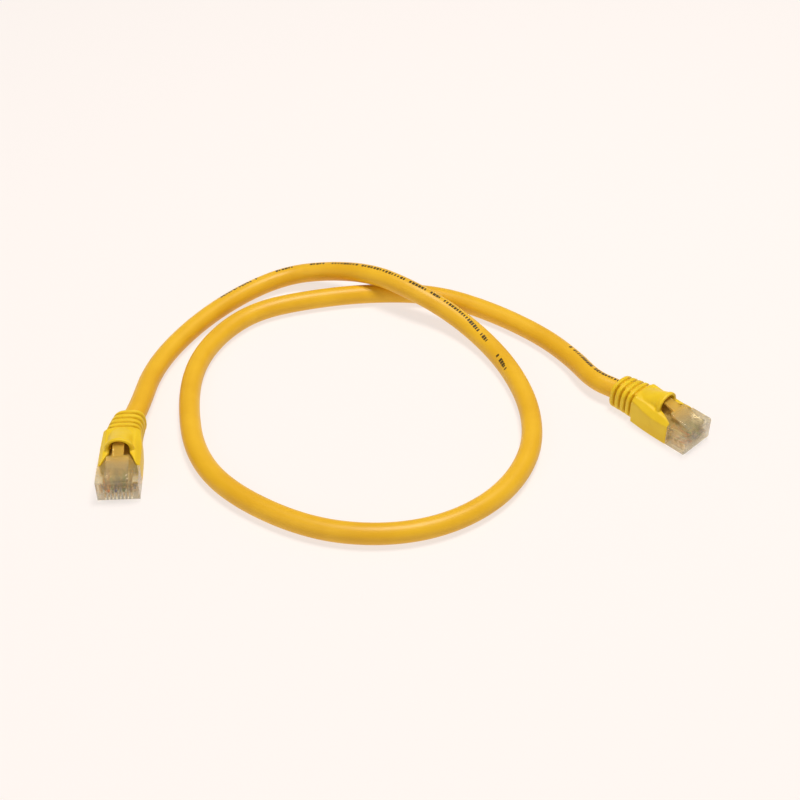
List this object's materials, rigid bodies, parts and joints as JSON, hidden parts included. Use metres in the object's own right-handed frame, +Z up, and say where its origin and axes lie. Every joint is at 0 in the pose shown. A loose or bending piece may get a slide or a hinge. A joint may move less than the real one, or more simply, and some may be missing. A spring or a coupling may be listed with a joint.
{
  "type": "ethernet patch cable",
  "caption": "Short round yellow network patch cable lying in one open loop, with a clear modular plug, contacts, spring latch and moulded ribbed boot with a latch hood on each end.",
  "frame": {"origin": "on the plane the cable lies on, under the middle of the box that holds the two plug assemblies", "axes": "+Z up; +X from plug A towards plug B, along the longer side of the plugs' common box; +Y towards the middle of the cable's loop"},
  "size_m": [0.1724, 0.1205, 0.018],
  "materials": {
    "jacket_pvc": "satin yellow-orange PVC",
    "boot_pvc": "soft lemon-yellow moulded PVC",
    "clear_plug": "clear polycarbonate, faintly smoky",
    "load_bar_plastic": "milky polycarbonate",
    "gold_contact": "gold-plated phosphor bronze",
    "copper": "bare copper",
    "insulation_white_orange": "polyethylene insulation",
    "insulation_orange": "polyethylene insulation",
    "insulation_white_green": "polyethylene insulation",
    "insulation_blue": "polyethylene insulation",
    "insulation_white_blue": "polyethylene insulation",
    "insulation_green": "polyethylene insulation",
    "insulation_white_brown": "polyethylene insulation",
    "insulation_brown": "polyethylene insulation"
  },
  "bodies": {
    "cable_and_plugs": {"cable_jacket": "jacket_pvc", "wire_white_orange": "insulation_white_orange", "wire_orange": "insulation_orange", "wire_white_green": "insulation_white_green", "wire_blue": "insulation_blue", "wire_white_blue": "insulation_white_blue", "wire_green": "insulation_green", "wire_white_brown": "insulation_white_brown", "wire_brown": "insulation_brown", "core_white_orange": "copper", "core_orange": "copper", "core_white_green": "copper", "core_blue": "copper", "core_white_blue": "copper", "core_green": "copper", "core_white_brown": "copper", "core_brown": "copper", "plug_body_a": "clear_plug", "load_bar_a": "load_bar_plastic", "boot_a": "boot_pvc", "contact_a1": "gold_contact", "contact_a2": "gold_contact", "contact_a3": "gold_contact", "contact_a4": "gold_contact", "contact_a5": "gold_contact", "contact_a6": "gold_contact", "contact_a7": "gold_contact", "contact_a8": "gold_contact", "plug_body_b": "clear_plug", "load_bar_b": "load_bar_plastic", "boot_b": "boot_pvc", "contact_b1": "gold_contact", "contact_b2": "gold_contact", "contact_b3": "gold_contact", "contact_b4": "gold_contact", "contact_b5": "gold_contact", "contact_b6": "gold_contact", "contact_b7": "gold_contact", "contact_b8": "gold_contact"},
    "latch_lever_a": {"latch_a": "clear_plug"},
    "latch_lever_b": {"latch_b": "clear_plug"},
    "hood_flap_a": {"hood_a": "boot_pvc"},
    "hood_flap_b": {"hood_b": "boot_pvc"}
  },
  "joints": [
    {"name": "hood_press_a", "type": "hinge", "parent": "cable_and_plugs", "child": "hood_flap_a", "pos_m": [-0.08028, -0.00423, 0.00875], "axis": [0.9986, 0.0523, 0], "range_deg": [0, 17], "stiffness_Nm_per_rad": 0.02},
    {"name": "latch_press_a", "type": "hinge", "parent": "cable_and_plugs", "child": "latch_lever_a", "pos_m": [-0.07935, -0.02195, 0.00785], "axis": [-0.9986, -0.0523, 0], "range_deg": [0, 10.2], "stiffness_Nm_per_rad": 0.02},
    {"name": "hood_press_b", "type": "hinge", "parent": "cable_and_plugs", "child": "hood_flap_b", "pos_m": [0.06931, 0.01265, 0.00875], "axis": [0.7193, 0.6947, 0], "range_deg": [0, 17], "stiffness_Nm_per_rad": 0.02},
    {"name": "latch_press_b", "type": "hinge", "parent": "cable_and_plugs", "child": "latch_lever_b", "pos_m": [0.08164, -0.00012, 0.00785], "axis": [-0.7193, -0.6947, 0], "range_deg": [0, 10.2], "stiffness_Nm_per_rad": 0.02}
  ],
  "couplings": [
    {"joint": "latch_press_a", "follows": "hood_press_a", "ratio": 0.6},
    {"joint": "latch_press_b", "follows": "hood_press_b", "ratio": 0.6}
  ]
}
